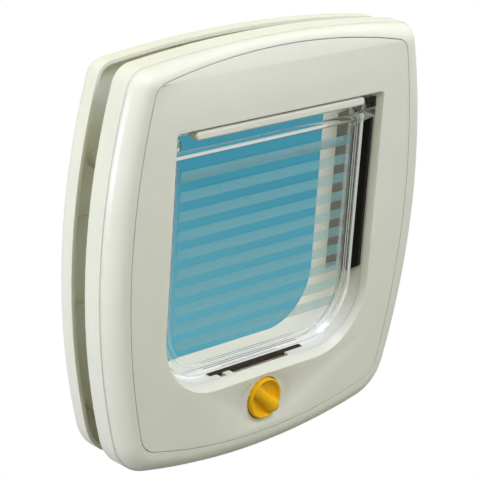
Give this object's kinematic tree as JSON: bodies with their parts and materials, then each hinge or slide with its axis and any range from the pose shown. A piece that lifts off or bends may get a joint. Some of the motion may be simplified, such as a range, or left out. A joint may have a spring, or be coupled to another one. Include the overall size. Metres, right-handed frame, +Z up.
{
  "type": "cat flap",
  "caption": "Door-mounted pet flap: two bowed white frames, a clear swinging flap on stub pins with striped pane, and a rotary four-way lock with cams under the sill.",
  "frame": {"origin": "middle of the passage in the plane of the inside frame's door-side face, which is also the centre of the door cut-out", "axes": "+X to the right seen from indoors, +Y out through the door, +Z up"},
  "size_m": [0.225, 0.0452, 0.2268],
  "materials": {
    "white_plastic": "satin moulded white",
    "clear_plastic": "clear polished",
    "frosted_stripe": "fine frosted",
    "black_pile": "short brushed pile",
    "brown_pile": "short brushed pile",
    "grey_pile": "short brushed pile",
    "yellow_plastic": "satin moulded yellow",
    "cam_plastic": "moulded",
    "pin_steel": "drawn",
    "screw_steel": "zinc plated",
    "spring_steel": "rolled"
  },
  "bodies": {
    "housing": {"inner_base": "white_plastic", "door_sleeve": "white_plastic", "inner_tunnel": "white_plastic", "inner_rim": "white_plastic", "inner_cover": "white_plastic", "hinge_bar": "white_plastic", "hinge_bar_screws": "screw_steel", "side_pile_right": "black_pile", "side_pile_left": "black_pile", "sill_pile": "brown_pile", "detent_leaf": "spring_steel", "outer_frame": "white_plastic", "rear_pile_right": "grey_pile", "rear_pile_left": "grey_pile", "fixing_screws": "screw_steel"},
    "flap": {"flap": "clear_plastic", "flap_stripes": "frosted_stripe", "hinge_pin_right": "pin_steel", "hinge_pin_left": "pin_steel"},
    "lock": {"lock_knob": "yellow_plastic", "front_cam": "cam_plastic", "rear_cam": "cam_plastic", "detent_barrel": "cam_plastic", "lock_screw": "screw_steel"}
  },
  "joints": [
    {"name": "flap_swing", "type": "hinge", "parent": "housing", "child": "flap", "pos_m": [0, -0.0075, 0.0652], "axis": [1, 0, 0], "range_deg": [-80, 80]},
    {"name": "lock_turn", "type": "hinge", "parent": "housing", "child": "lock", "pos_m": [0, -0.0172, -0.08285], "axis": [0, 1, 0], "range_deg": [0, 270]}
  ]
}
